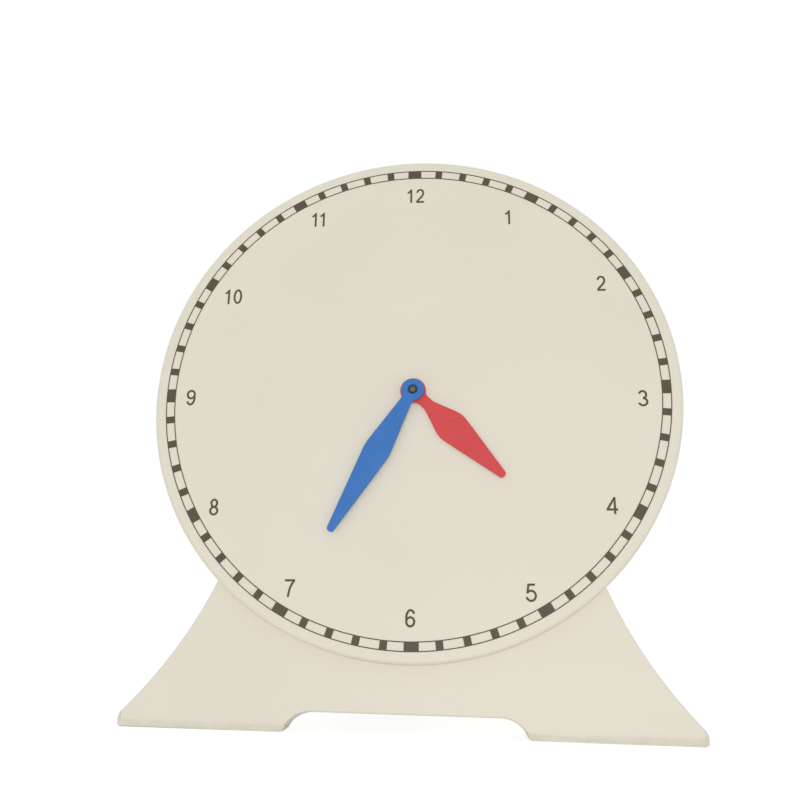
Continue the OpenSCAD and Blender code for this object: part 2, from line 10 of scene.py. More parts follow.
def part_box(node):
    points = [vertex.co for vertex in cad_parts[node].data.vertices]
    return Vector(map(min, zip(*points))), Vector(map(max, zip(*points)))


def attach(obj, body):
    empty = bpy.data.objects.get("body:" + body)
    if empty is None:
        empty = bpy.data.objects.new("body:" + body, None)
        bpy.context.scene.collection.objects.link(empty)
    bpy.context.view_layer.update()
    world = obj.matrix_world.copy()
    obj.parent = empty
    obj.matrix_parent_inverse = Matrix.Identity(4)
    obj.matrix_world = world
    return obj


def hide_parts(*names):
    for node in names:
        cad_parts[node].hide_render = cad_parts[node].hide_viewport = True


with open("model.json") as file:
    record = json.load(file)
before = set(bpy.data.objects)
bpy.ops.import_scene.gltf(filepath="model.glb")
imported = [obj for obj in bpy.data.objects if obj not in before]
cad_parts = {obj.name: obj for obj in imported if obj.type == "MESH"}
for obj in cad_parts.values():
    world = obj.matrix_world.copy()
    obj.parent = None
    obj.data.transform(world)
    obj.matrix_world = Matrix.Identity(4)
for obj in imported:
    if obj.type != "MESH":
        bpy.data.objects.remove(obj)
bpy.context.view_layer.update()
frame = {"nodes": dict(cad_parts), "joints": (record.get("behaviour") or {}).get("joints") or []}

MM = 0.001
MERGE_MM = 0.001

# Print on the dial, in millimetres and degrees
TRACK_W = 3.6
TRACK_LINE_W = 0.35
MINUTE_BLOCK_W = 2.7
HOUR_BLOCK_W = 5.3
PRINT_T = 0.12
PRINT_TURN = 1.2
MINUTES = 60
MINUTES_PER_HOUR_BLOCK = 5
RING_SEGMENTS = 360
HOURS = 12
NUMERAL_H = 6.2
NUMERAL_STROKE_W = 0.74
NUMERAL_CIRCLE_R = 84.6
ARC_STEP_ANGLE = 9
ARC_MIN_STEPS = 4
# How far the printed numerals stray from an even circle
NUMERAL_STRAYS = {1: (-5.1, -0.4), 2: (-0.8, 0.4), 3: (0.5, -4.4), 4: (-1.7, -2.3), 5: (-0.4, -2.1),
                  6: (-0.4, 0.4), 7: (-1.5, -0.5), 8: (-0.5, -1.7), 9: (-1.5, -0.9), 10: (0.9, -0.9),
                  11: (2.9, 1.5), 12: (0.5, -0.5)}

# Dial, in millimetres: radii from the pivot and depths behind its face
DIAL_WALL = 2.2
DIAL_DEPTH = 4.5
DIAL_EDGE_R = 1.5
DIAL_EDGE = 0.2
DIAL_STEPS = 240
RIB_T = 1.6
RIB_DEPTH = 4.2
RIB_ROOT = 1.1
RING_RIB_R = 60
RADIAL_RIBS = 12
PIVOT_BOSS_R = 5
PIVOT_BOSS_DEPTH = 6
PIVOT_BORE_R = 1.05
SCREW_BOSS_R = 4
SCREW_HOLE_R = 1.35
SCREW_HOLE_END = 1.2

# Softened edges of the mouldings and the hardware, in millimetres and degrees
STAND_EDGE = 0.6
LEG_EDGE = 0.5
HAND_EDGE = 0.25
NUT_EDGE = 0.1
PIN_EDGE = 0.15
WASHER_EDGE = 0.06
INNER_EDGE_SHARE = 0.4
EDGE_SEGMENTS = 3
FLAT_ANGLE = 0.3
SHARP_ANGLE = 72
NUT_SHARP_ANGLE = 32
SMOOTH_ANGLE = 50
FLOOR_EDGE_H = 0.3

# Turned shapes
TURN_STEPS = 48
ROUND_STEPS = 6
DOME_STEPS = 8

# Screws, in millimetres from the dial's face: outwards for the pivot's, backwards for those at the back
THREAD_DEPTH_SHARE = 0.61
THREAD_CREST = (0.4, 0.6)
SCREW_TIP_SHARE = 0.6
PIVOT_SCREW = {"low": -9.7, "seat": 2.3, "top": 3.2, "shank_r": 1.0, "head_r": 1.65, "side": 0.2,
               "thread_from": -9.4, "thread_to": -5.8, "pitch": 0.4}
PIVOT_RECESS = {"span": 2.0, "width": 0.46, "depth": 0.35}
BACK_SCREW = {"low": 1.6, "seat": 7.0, "top": 8.8, "shank_r": 1.3, "head_r": 2.5, "side": 0.4,
              "thread_from": 2.2, "thread_to": 6.6, "pitch": 0.9}
BACK_RECESS = {"span": 2.8, "width": 0.62, "depth": 0.9}
BACK_SCREWS_UPPER = (42.0, -24.0)
BACK_SCREWS_LOWER = (50.0, -64.0)
BACK_SCREW_COUNT = 4
BACK_SCREW_TURN = 37

# Camera, in millimetres from the dial's centre: right, up along the dial, out of its face
CAMERA_AT = (29.9, -117.7, 338.7)
CAMERA_LOOK = (-0.0969, 0.3180, -0.9431)
CAMERA_UP = (-0.0018, 0.9475, 0.3197)
SENSOR_W = 36
LENS = 42.75
CLIP_START = 10

# Light, in metres, watts and shares of white
WORLD_LIGHT = 0.62
KEY = {"at": (0.1, -2.2, 0.25), "size": 0.5, "power": 16}
REAR_FILL = {"at": (0.7, 2.0, 0.9), "size": 1.2, "power": 8}
FLOOR_SIZE = 12
FLOOR_BOUNCE = 0.88
FLOOR_SHADOW_SHARE = 0.35
FLOOR_WHITE_SHARE = 0.80


def joint(name):
    """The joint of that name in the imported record."""
    return next(entry for entry in frame["joints"] if entry["name"] == name)


def dial_frame():
    """Placing matrix of the dial: x to the right, y up along its face, z out of it."""
    pivot = joint("minute_turn")
    out = Vector(pivot["axis"]).normalized()
    right = Vector((1, 0, 0))
    turn = Matrix((right, out.cross(right), out)).transposed()
    return Matrix.Translation(pivot["pos_m"]) @ turn.to_4x4()


DIAL = dial_frame()


# Node trees


class Signal:
    """A socket of a node tree. Arithmetic on signals adds Math nodes to the tree."""

    def __init__(self, graph, socket):
        self.graph = graph
        self.socket = socket

    def math(self, operation, *values):
        return self.graph.add("ShaderNodeMath", {"operation": operation}, dict(enumerate(values)))

    def __add__(self, other):
        return self.math("ADD", self, other)

    def __sub__(self, other):
        return self.math("SUBTRACT", self, other)

    def __rsub__(self, other):
        return self.math("SUBTRACT", other, self)

    def __mul__(self, other):
        return self.math("MULTIPLY", self, other)

    def __mod__(self, other):
        return self.math("MODULO", self, other)

    def __lt__(self, other):
        return self.math("LESS_THAN", self, other)

    __radd__ = __add__
    __rmul__ = __mul__

    def sine(self):
        return self.math("SINE", self)

    def cosine(self):
        return self.math("COSINE", self)

    def above(self, level, softness):
        """0 below the level and 1 over it, with a soft step of that width."""
        return self.graph.add("ShaderNodeMapRange", {"interpolation_type": "SMOOTHSTEP"},
                              {"Value": self, "From Min": level - softness / 2,
                               "From Max": level + softness / 2})


class Graph:
    """A node tree that is written as expressions."""

    def __init__(self, tree):
        self.tree = tree

    def add(self, kind, settings=None, sockets=None, output=0):
        """Any node: its type, its settings, then the values or links of its sockets."""
        node = self.tree.nodes.new(kind)
        for name, value in (settings or {}).items():
            setattr(node, name, value)
        for key, value in (sockets or {}).items():
            self.feed(node.inputs[key], value)
        return Signal(self, node.outputs[output]) if node.outputs else node

    def feed(self, socket, value):
        if isinstance(value, list):
            for part in value:
                self.tree.links.new(part.socket, socket)
        elif isinstance(value, Signal):
            self.tree.links.new(value.socket, socket)
        else:
            socket.default_value = value

    def mix(self, share, first, second):
        """Colour between two colours."""
        return self.add("ShaderNodeMix", {"data_type": "RGBA"}, {0: share, 6: first, 7: second}, output=2)

    def vector(self, x, y, z):
        return self.add("ShaderNodeCombineXYZ", sockets={0: x, 1: y, 2: z})


# Finishes


def tint(red, green, blue):
    """Linear colour from the usual 0 to 255 values."""
    def linear(value):
        share = value / 255
        return share / 12.92 if share <= 0.04045 else ((share + 0.055) / 1.055) ** 2.4
    return (linear(red), linear(green), linear(blue), 1.0)


# The grey tint for the feet's lowest millimetres is dust and painted shade.
CREAM = {"deep": tint(224, 218, 201), "pale": tint(232, 226, 211), "flow": tint(225, 217, 198),
         "speck": tint(176, 166, 142), "scuff": tint(238, 234, 224), "dust_and_shade": tint(176, 168, 150)}
INK = {"full": tint(64, 58, 42), "thin": tint(86, 79, 60)}
RED = {"deep": tint(206, 66, 69), "plain": tint(216, 78, 80), "scratch": tint(228, 122, 122)}
BLUE = {"deep": tint(50, 111, 184), "plain": tint(63, 121, 194), "scratch": tint(116, 158, 212)}
ZINC = {"bright": tint(186, 188, 190), "bloom": tint(150, 150, 146)}
# The darkest brass tint is painted shade and dark reflection on the pivot screw's rounded rim.
BRASS = {"dull": tint(84, 92, 60), "worn": tint(122, 121, 78), "rim_shade": tint(34, 50, 52)}
NYLON = {"deep": tint(226, 224, 214), "pale": tint(238, 237, 230)}
PLASTIC_IOR = 1.49
HAND_SPECULAR = 0.3


class Finish(Graph):
    """A material whose patterns lie in the part's own frame."""

    def __init__(self, name):
        self.material = bpy.data.materials.new(name)
        self.material.use_nodes = True
        self.material.node_tree.nodes.clear()
        super().__init__(self.material.node_tree)
        self.place = self.add("ShaderNodeTexCoord", output="Object")

    def stretched(self, x, y, z):
        """The place with its axes scaled, for patterns that run one way."""
        return self.add("ShaderNodeMapping", sockets={"Vector": self.place, "Scale": (x, y, z)})

    def from_pivot(self):
        """Distance from the axis that the hands turn on."""
        on_dial = self.add("ShaderNodeMapping", {"vector_type": "TEXTURE"}, {
            "Vector": self.place, "Location": DIAL.translation, "Rotation": DIAL.to_euler()})
        flat = self.add("ShaderNodeVectorMath", {"operation": "MULTIPLY"}, {0: on_dial, 1: (1, 1, 0)})
        return self.add("ShaderNodeVectorMath", {"operation": "LENGTH"}, {0: flat}, output="Value")

    def noise(self, patch_mm, detail, place=None):
        """Noise from 0 to 1 with patches of about that size."""
        return self.add("ShaderNodeTexNoise", sockets={
            "Vector": place or self.place, "Scale": 1 / (patch_mm * MM), "Detail": detail})

    def over(self, base, coat, mask, share):
        """A colour with a coat laid over it where the mask is, as strong as its share."""
        return self.mix(mask * share, base, coat)

    def bump(self, height, depth_mm, strength):
        return self.add("ShaderNodeBump", sockets={
            "Height": height, "Distance": depth_mm * MM, "Strength": strength})

    def surface(self, sockets):
        shader = self.add("ShaderNodeBsdfPrincipled", sockets=sockets)
        self.add("ShaderNodeOutputMaterial", sockets={"Surface": shader})
        return self.material


def cream_plastic():
    """Satin moulded plastic: faint flow clouds, a fine spark-eroded grain, scuffs, and dust with painted
    shade in patches low on the feet.
    """
    finish = Finish("Cream plastic")
    clouds = finish.noise(patch_mm=45, detail=3)
    flow = finish.noise(patch_mm=14, detail=2, place=finish.stretched(0.35, 1, 1))
    grain = finish.noise(patch_mm=0.35, detail=2)
    specks = finish.noise(patch_mm=1.6, detail=1).above(level=0.74, softness=0.05)
    streaks = finish.noise(patch_mm=2.2, detail=4, place=finish.stretched(0.12, 1, 0.9))
    scuffs = streaks.above(level=0.66, softness=0.14)
    height = finish.add("ShaderNodeSeparateXYZ", sockets={0: finish.place}, output="Z")
    off_floor = height.above(level=3 * MM, softness=5 * MM)
    # Darker grey patches within a few millimetres of the floor: partly dust, partly painted shade of the
    # feet's lower band that faces the floor.
    dust_and_shade = (1 - off_floor) * finish.noise(patch_mm=4, detail=4).above(level=0.45, softness=0.4)
    base = finish.mix(clouds, CREAM["deep"], CREAM["pale"])
    base = finish.over(base, CREAM["flow"], flow, share=0.25)
    base = finish.over(base, CREAM["speck"], specks, share=0.05)
    base = finish.over(base, CREAM["scuff"], scuffs, share=0.10)
    base = finish.over(base, CREAM["dust_and_shade"], dust_and_shade, share=0.18)
    return finish.surface({
        "Base Color": base,
        "Roughness": 0.40 + clouds * 0.08 + grain * 0.06 + scuffs * 0.06,
        "IOR": PLASTIC_IOR,
        "Normal": finish.bump(grain * 0.5 + clouds * 0.5, depth_mm=0.025, strength=0.35)})


def print_ink():
    """Flat screen print, a little thin in places and with a slightly rough surface."""
    finish = Finish("Print ink")
    cover = finish.noise(patch_mm=3.5, detail=3)
    mesh_grain = finish.noise(patch_mm=0.22, detail=1)
    return finish.surface({
        "Base Color": finish.mix(cover * 0.6 + mesh_grain * 0.25, INK["full"], INK["thin"]),
        "Roughness": 0.52 + mesh_grain * 0.14,
        "Normal": finish.bump(mesh_grain, depth_mm=0.008, strength=0.4)})


def hand_plastic(name, tints):
    """Smooth moulded plastic of a hand, with faint flow lines and fine handling scratches."""
    finish = Finish(name)
    flow = finish.noise(patch_mm=9, detail=3)
    grain = finish.noise(patch_mm=0.3, detail=2)
    streaks = finish.noise(patch_mm=0.7, detail=3, place=finish.stretched(0.12, 0.12, 1))
    scratches = streaks.above(level=0.68, softness=0.1)
    base = finish.mix(flow, tints["deep"], tints["plain"])
    return finish.surface({
        "Base Color": finish.over(base, tints["scratch"], scratches, share=0.18),
        "Roughness": 0.36 + flow * 0.08 + scratches * 0.12,
        "IOR": PLASTIC_IOR,
        "Specular IOR Level": HAND_SPECULAR,
        "Normal": finish.bump(grain * 0.6 + flow * 0.4, depth_mm=0.015, strength=0.3)})


def zinc_plate():
    """Zinc plated steel: dull bloom in patches and fine turning marks."""
    finish = Finish("Zinc plated steel")
    bloom = finish.noise(patch_mm=1.4, detail=4).above(level=0.52, softness=0.3)
    marks = finish.noise(patch_mm=0.12, detail=2, place=finish.stretched(1, 1, 0.2))
    return finish.surface({
        "Base Color": finish.over(ZINC["bright"], ZINC["bloom"], bloom, share=0.6),
        "Metallic": 1.0 - bloom * 0.25,
        "Roughness": 0.3 + bloom * 0.18 + marks * 0.08,
        "Normal": finish.bump(marks, depth_mm=0.006, strength=0.4)})


def aged_brass():
    """Brass, dark green-brown beyond the middle of the screw's head: painted shade and dark reflection of
    its rounded rim and seat, round a lighter middle.
    """
    finish = Finish("Brass with painted rim shade")
    patches = finish.noise(patch_mm=0.5, detail=4)
    marks = finish.noise(patch_mm=0.12, detail=2)
    # Beyond about 1 mm from the axis the brass is painted dark: painted shade and dark reflection on the
    # head's rounded rim and in its seat.
    ragged_r = finish.from_pivot() + (patches - 0.5) * (0.5 * MM)
    rim_shade = ragged_r.above(level=0.95 * MM, softness=0.6 * MM)
    worn = finish.mix(patches, BRASS["dull"], BRASS["worn"])
    return finish.surface({
        "Base Color": finish.over(worn, BRASS["rim_shade"], rim_shade, share=0.92),
        "Metallic": 0.85 - rim_shade * 0.5,
        "Roughness": 0.42 + patches * 0.12 + rim_shade * 0.12,
        "Normal": finish.bump(marks, depth_mm=0.006, strength=0.4)})


def natural_nylon():
    """Slightly waxy washer plastic."""
    finish = Finish("Natural nylon")
    clouds = finish.noise(patch_mm=2, detail=2)
    return finish.surface({
        "Base Color": finish.mix(clouds, NYLON["deep"], NYLON["pale"]),
        "Roughness": 0.42 + clouds * 0.1,
        "Normal": finish.bump(clouds, depth_mm=0.01, strength=0.3)})


FINISHES = {
    "cream_plastic": cream_plastic(),
    "print_ink": print_ink(),
    "red_plastic": hand_plastic("Red plastic", RED),
    "blue_plastic": hand_plastic("Blue plastic", BLUE),
    "brass": aged_brass(),
    "steel": zinc_plate(),
    "nylon": natural_nylon(),
}


# Meshes


def new_piece(name, mesh):
    piece = bpy.data.objects.new(name, mesh)
    bpy.context.scene.collection.objects.link(piece)
    return piece


def to_mesh(shape, name):
    mesh = bpy.data.meshes.new(name)
    shape.to_mesh(mesh)
    shape.free()
    return mesh


def baked(piece):
    """Turns a piece's modifiers into plain mesh data."""
    shapes = bpy.context.evaluated_depsgraph_get()
    mesh = bpy.data.meshes.new_from_object(piece.evaluated_get(shapes))
    piece.modifiers.clear()
    if piece.type == "MESH":
        piece.data = mesh
        return piece
    name = piece.name
    bpy.data.objects.remove(piece)
    return new_piece(name, mesh)


def shaded(piece):
    """Smooth shading that keeps flat faces flat."""
    piece.data.shade_smooth()
    piece.data.set_sharp_from_angle(angle=math.radians(SMOOTH_ANGLE))
    weighted = piece.modifiers.new("Face normals", "WEIGHTED_NORMAL")
    weighted.keep_sharp = True
    return baked(piece)


def finished(piece, body, slot, *nodes):
    """Gives a piece its finish, sets it under the empty of the body it rides on, and hides the imported
    parts it stands for.
    """
    piece.data.materials.clear()
    piece.data.materials.append(FINISHES[slot])
    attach(piece, body)
    if nodes:
        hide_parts(*nodes)


def softened(node, name, edge_mm, sharp=SHARP_ANGLE):
    """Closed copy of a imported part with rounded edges, apart from those on the floor.

    Inner corners get a smaller round, so that it stays clear of the rounds next to it.
    """
    shape = bmesh.new()
    shape.from_mesh(frame["nodes"][node].data)
    bmesh.ops.remove_doubles(shape, verts=shape.verts, dist=MERGE_MM * MM)
    bmesh.ops.dissolve_degenerate(shape, edges=shape.edges, dist=MERGE_MM * MM)
    bmesh.ops.dissolve_limit(shape, verts=shape.verts, edges=shape.edges,
                             angle_limit=math.radians(FLAT_ANGLE))
    share = shape.edges.layers.float.new("bevel_weight_edge")
    for edge in shape.edges:
        off_floor = min(corner.co.z for corner in edge.verts) > FLOOR_EDGE_H * MM
        if off_floor and edge.calc_face_angle(0) > math.radians(sharp):
            edge[share] = 1.0 if edge.is_convex else INNER_EDGE_SHARE
    piece = new_piece(name, to_mesh(shape, name))
    rounds = piece.modifiers.new("Rounded edges", "BEVEL")
    rounds.limit_method = "WEIGHT"
    rounds.width = edge_mm * MM
    rounds.segments = EDGE_SEGMENTS
    rounds.use_clamp_overlap = False
    return shaded(baked(piece))


# Shapes made by nodes


def nodes_modifier(piece, name, inputs):
    """Empty Geometry Nodes tree on a piece, with named inputs and their values."""
    tree = bpy.data.node_groups.new(name, "GeometryNodeTree")
    tree.interface.new_socket("Geometry", in_out="INPUT", socket_type="NodeSocketGeometry")
    tree.interface.new_socket("Geometry", in_out="OUTPUT", socket_type="NodeSocketGeometry")
    modifier = piece.modifiers.new(name, "NODES")
    modifier.node_group = tree
    for label, value in inputs.items():
        kind = "NodeSocketMaterial" if isinstance(value, bpy.types.Material) else "NodeSocketFloat"
        socket = tree.interface.new_socket(label, in_out="INPUT", socket_type=kind)
        modifier[socket.identifier] = value
    graph = Graph(tree)
    source = tree.nodes.new("NodeGroupInput")
    given = {label: Signal(graph, source.outputs[label]) for label in ["Geometry", *inputs]}
    return graph, given


def end_tree(graph, geometry, material):
    """Ends a tree with real geometry in its finish."""
    real = graph.add("GeometryNodeRealizeInstances", sockets={"Geometry": geometry})
    coated = graph.add("GeometryNodeSetMaterial", sockets={"Geometry": real, "Material": material})
    graph.add("NodeGroupOutput", sockets={"Geometry": coated})


def union(graph, parts):
    """One closed shell round parts that overlap."""
    return graph.add("GeometryNodeMeshBoolean", {"operation": "UNION", "solver": "EXACT"},
                     {"Mesh 2": parts, "Self Intersection": True})


def flat_ribbon(graph, curve, width, thickness, edge=None):
    """A flat bar along a level curve, standing on the plane z = 0, with its edges rounded if asked."""
    level = graph.add("GeometryNodeSetCurveNormal", {"mode": "Z_UP"}, {"Curve": curve})
    section = graph.add("GeometryNodeCurvePrimitiveQuadrilateral",
                        sockets={"Width": width, "Height": thickness})
    if edge:
        section = graph.add("GeometryNodeFilletCurve", {"mode": "POLY"},
                            {"Curve": section, "Count": EDGE_SEGMENTS, "Radius": edge})
    ribbon = graph.add("GeometryNodeCurveToMesh",
                       sockets={"Curve": level, "Profile Curve": section, "Fill Caps": True})
    return graph.add("GeometryNodeTransform",
                     sockets={"Geometry": ribbon, "Translation": graph.vector(0.0, 0.0, thickness * 0.5)})


# Print on the dial


def minute_track():
    """Two thin rings joined by sixty blocks, those at the hours wider."""
    low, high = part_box("minute_track")
    piece = new_piece("minute_track_print", bpy.data.meshes.new("minute_track_print"))
    graph, given = nodes_modifier(piece, "Minute track", {
        "Outer radius": (high.x - low.x) / 2,
        "Track width": TRACK_W * MM,
        "Line width": TRACK_LINE_W * MM,
        "Minute block": MINUTE_BLOCK_W * MM,
        "Hour block": HOUR_BLOCK_W * MM,
        "Print thickness": PRINT_T * MM,
        "Finish": FINISHES["print_ink"]})
    half_line = given["Line width"] * 0.5
    outer_r = given["Outer radius"] - half_line
    inner_r = given["Outer radius"] - given["Track width"] + half_line
    rings = []
    for radius in (outer_r, inner_r):
        circle = graph.add("GeometryNodeCurvePrimitiveCircle",
                           sockets={"Resolution": RING_SEGMENTS, "Radius": radius})
        rings.append(flat_ribbon(graph, circle, given["Line width"], given["Print thickness"]))
    minute = graph.add("GeometryNodeInputIndex")
    angle = minute * (2 * math.pi / MINUTES)
    middle_r = (outer_r + inner_r) * 0.5
    points = graph.add("GeometryNodePoints", sockets={
        "Count": MINUTES,
        "Position": graph.vector(angle.sine() * middle_r, angle.cosine() * middle_r,
                                 given["Print thickness"] * 0.5)})
    is_hour = minute % MINUTES_PER_HOUR_BLOCK < 0.5
    block_w = given["Minute block"] + (given["Hour block"] - given["Minute block"]) * is_hour
    blocks = graph.add("GeometryNodeInstanceOnPoints", sockets={
        "Points": points,
        "Instance": graph.add("GeometryNodeMeshCube", sockets={"Size": (1, 1, 1)}),
        "Rotation": graph.vector(0.0, 0.0, 0.0 - angle),
        "Scale": graph.vector(block_w, outer_r - inner_r, given["Print thickness"])})
    solid_blocks = graph.add("GeometryNodeRealizeInstances", sockets={"Geometry": blocks})
    end_tree(graph, union(graph, [*rings, solid_blocks]), given["Finish"])
    return on_dial(baked(piece))


def on_dial(piece):
    """Moves a flat print from the plane z = 0 on to the dial's face, turned as the print is."""
    piece.data.transform(DIAL @ Matrix.Rotation(math.radians(PRINT_TURN), 4, "Z"))
    return piece


def arc(centre, radii, start, end):
    """Points along part of an ellipse, from one angle to another in degrees."""
    steps = max(ARC_MIN_STEPS, round(abs(end - start) / ARC_STEP_ANGLE))
    turns = [math.radians(start + (end - start) * step / steps) for step in range(steps + 1)]
    return [(centre[0] + radii[0] * math.cos(turn), centre[1] + radii[1] * math.sin(turn))
            for turn in turns]


def half_turned(strokes, width):
    """The same strokes turned by half a turn within a numeral's cell."""
    return [[(width - x, 1 - y) for x, y in stroke] for stroke in strokes]


# Middle lines of the numerals' strokes, in shares of their height
DIGIT_W = 0.56
DIGIT_STEP = 0.64
ONES_STEP = 0.53
SIX = [arc((0.285, 0.30), (0.225, 0.25), 180, 540),
       arc((0.300, 0.52), (0.240, 0.43), 32, 200)]
STROKES = {
    "0": [arc((0.28, 0.50), (0.215, 0.45), 90, 450)],
    "1": [[(0.33, 0), (0.33, 1)], [(0.10, 0.73), (0.21, 0.80), (0.29, 0.88), (0.34, 0.97)]],
    "2": [[*arc((0.275, 0.70), (0.205, 0.25), 170, -28),
           (0.36, 0.42), (0.20, 0.25), (0.09, 0.11), (0.07, 0.05)],
          [(0.02, 0.05), (0.53, 0.05)]],
    "3": [arc((0.27, 0.725), (0.205, 0.225), 165, -90), arc((0.27, 0.275), (0.245, 0.225), 90, -165)],
    "4": [[(0.44, 0), (0.44, 0.99)], [(0.44, 0.96), (0.02, 0.29)], [(-0.03, 0.265), (0.61, 0.265)]],
    "5": [[(0.51, 0.95), (0.11, 0.95)], [(0.15, 0.99), (0.07, 0.47)],
          arc((0.28, 0.33), (0.260, 0.28), 150, -165)],
    "6": SIX,
    "7": [[(0.00, 0.95), (0.59, 0.95)],
          [(0.56, 0.95), (0.42, 0.76), (0.32, 0.54), (0.25, 0.28), (0.21, 0)]],
    "8": [arc((0.28, 0.735), (0.175, 0.215), 90, 450), arc((0.28, 0.275), (0.215, 0.225), 90, 450)],
    "9": half_turned(SIX, DIGIT_W),
}


def numeral_strokes(hour):
    """Strokes of an hour's numeral round the origin, in millimetres. Two ones stand closer together."""
    step = ONES_STEP if hour == 11 else DIGIT_STEP
    strokes = [[(x + step * place, y) for x, y in stroke]
               for place, digit in enumerate(str(hour)) for stroke in STROKES[digit]]
    across = [x for stroke in strokes for x, _ in stroke]
    middle = (min(across) + max(across)) / 2
    return [[((x - middle) * NUMERAL_H, (y - 0.5) * NUMERAL_H) for x, y in stroke] for stroke in strokes]


def numeral_place(hour):
    turn = 2 * math.pi * hour / HOURS
    stray = NUMERAL_STRAYS[hour]
    return NUMERAL_CIRCLE_R * math.sin(turn) + stray[0], NUMERAL_CIRCLE_R * math.cos(turn) + stray[1]


def numerals():
    """The twelve hours as thin printed strokes."""
    lines = bpy.data.curves.new("numerals", "CURVE")
    lines.dimensions = "3D"
    for hour in range(1, HOURS + 1):
        centre = numeral_place(hour)
        for stroke in numeral_strokes(hour):
            closed = math.dist(stroke[0], stroke[-1]) < MERGE_MM
            points = stroke[:-1] if closed else stroke
            spline = lines.splines.new("POLY")
            spline.points.add(len(points) - 1)
            spline.use_cyclic_u = closed
            for point, (x, y) in zip(spline.points, points):
                point.co = ((centre[0] + x) * MM, (centre[1] + y) * MM, 0, 1)
    piece = new_piece("numerals", lines)
    graph, given = nodes_modifier(piece, "Printed strokes", {
        "Stroke width": NUMERAL_STROKE_W * MM,
        "Print thickness": PRINT_T * MM,
        "Finish": FINISHES["print_ink"]})
    ribbon = flat_ribbon(graph, given["Geometry"], given["Stroke width"], given["Print thickness"])
    end_tree(graph, union(graph, [ribbon]), given["Finish"])
    return on_dial(baked(piece))


# Screws


def thread(sizes):
    """Outline of a thread as rings, from its free end to the plain shank."""
    pitch, crest_r = sizes["pitch"], sizes["shank_r"]
    low, high = sizes["thread_from"], sizes["thread_to"]
    root_r = crest_r - THREAD_DEPTH_SHARE * pitch / 2
    rise, fall = [share * pitch for share in THREAD_CREST]
    outline = []
    for turn in range(round((high - low) / pitch)):
        start = low + turn * pitch
        outline += [(root_r, start), (crest_r, start + rise), (crest_r, start + fall)]
    return [*outline, (root_r, high), (crest_r, high + rise)]


def pan_head(sizes):
    """Outline of a domed head, from its seat to its middle."""
    seat, top, head_r = sizes["seat"], sizes["top"], sizes["head_r"]
    side = seat + sizes["side"]
    turns = [math.pi / 2 * step / DOME_STEPS for step in range(DOME_STEPS)]
    dome = [(head_r * math.cos(turn), side + (top - side) * math.sin(turn)) for turn in turns]
    return [(sizes["shank_r"], seat), (head_r, seat), *dome, (0, top)]


def turned(name, outline, steps=TURN_STEPS):
    """Solid turned round z from its outline: pairs of radius and height."""
    shape = bmesh.new()
    corners = [shape.verts.new((radius * MM, 0, height * MM)) for radius, height in outline]
    edges = [shape.edges.new(pair) for pair in zip(corners, corners[1:])]
    bmesh.ops.spin(shape, geom=corners + edges, cent=(0, 0, 0), axis=(0, 0, 1), angle=2 * math.pi,
                   steps=steps, use_merge=True)
    bmesh.ops.remove_doubles(shape, verts=shape.verts, dist=MERGE_MM * MM)
    bmesh.ops.recalc_face_normals(shape, faces=shape.faces)
    return new_piece(name, to_mesh(shape, name))


def screw(name, sizes):
    tip = [(0, sizes["low"]), (SCREW_TIP_SHARE * sizes["shank_r"], sizes["low"])]
    return turned(name, tip + thread(sizes) + pan_head(sizes))


def recess_inputs(sizes, recess, slot):
    return {"Recess span": recess["span"] * MM, "Recess width": recess["width"] * MM,
            "Recess depth": recess["depth"] * MM, "Head top": sizes["top"] * MM, "Finish": FINISHES[slot]}


def with_recess(graph, given):
    """Cuts a cross recess into a screw's head, by two bars of which the lower halves reach into it."""
    bars = []
    for size in (graph.vector(given["Recess span"], given["Recess width"], given["Recess depth"] * 2),
                 graph.vector(given["Recess width"], given["Recess span"], given["Recess depth"] * 2)):
        bar = graph.add("GeometryNodeMeshCube", sockets={"Size": size})
        bars.append(graph.add("GeometryNodeTransform", sockets={
            "Geometry": bar, "Translation": graph.vector(0.0, 0.0, given["Head top"])}))
    return graph.add("GeometryNodeMeshBoolean", {"operation": "DIFFERENCE", "solver": "EXACT"},
                     {"Mesh 1": given["Geometry"], "Mesh 2": bars})


def back_screw_inputs():
    return {"Upper spread": BACK_SCREWS_UPPER[0] * MM, "Upper place": BACK_SCREWS_UPPER[1] * MM,
            "Lower spread": BACK_SCREWS_LOWER[0] * MM, "Lower place": BACK_SCREWS_LOWER[1] * MM}


def back_screw_points(graph, given):
    """The places of the screws that hold the dial, the upper two first, and their numbers."""
    number = graph.add("GeometryNodeInputIndex")
    lower = 1 - (number < 1.5)
    side = 1 - (number % 2) * 2
    spread = given["Upper spread"] + (given["Lower spread"] - given["Upper spread"]) * lower
    height = given["Upper place"] + (given["Lower place"] - given["Upper place"]) * lower
    points = graph.add("GeometryNodePoints", sockets={
        "Count": BACK_SCREW_COUNT, "Position": graph.vector(side * spread, height, 0.0)})
    return points, number


def centre_screw():
    """Screw that the hands turn on, with the end of its thread past the nut."""
    piece = screw("centre_screw", PIVOT_SCREW)
    graph, given = nodes_modifier(piece, "Centre screw", recess_inputs(PIVOT_SCREW, PIVOT_RECESS, "brass"))
    end_tree(graph, with_recess(graph, given), given["Finish"])
    piece = shaded(baked(piece))
    piece.data.transform(DIAL)
    return piece


def back_screws():
    """Four screws that hold the dial to the stand, each turned home to its own angle."""
    piece = screw("back_screws", BACK_SCREW)
    graph, given = nodes_modifier(piece, "Back screws", {
        **recess_inputs(BACK_SCREW, BACK_RECESS, "steel"), **back_screw_inputs(),
        "Turn": math.radians(BACK_SCREW_TURN)})
    points, number = back_screw_points(graph, given)
    four = graph.add("GeometryNodeInstanceOnPoints", sockets={
        "Points": points, "Instance": with_recess(graph, given),
        "Rotation": graph.vector(0.0, 0.0, number * given["Turn"])})
    end_tree(graph, four, given["Finish"])
    piece = shaded(baked(piece))
    piece.data.transform(DIAL @ Matrix.Rotation(math.pi, 4, "Y"))
    return piece


# Dial


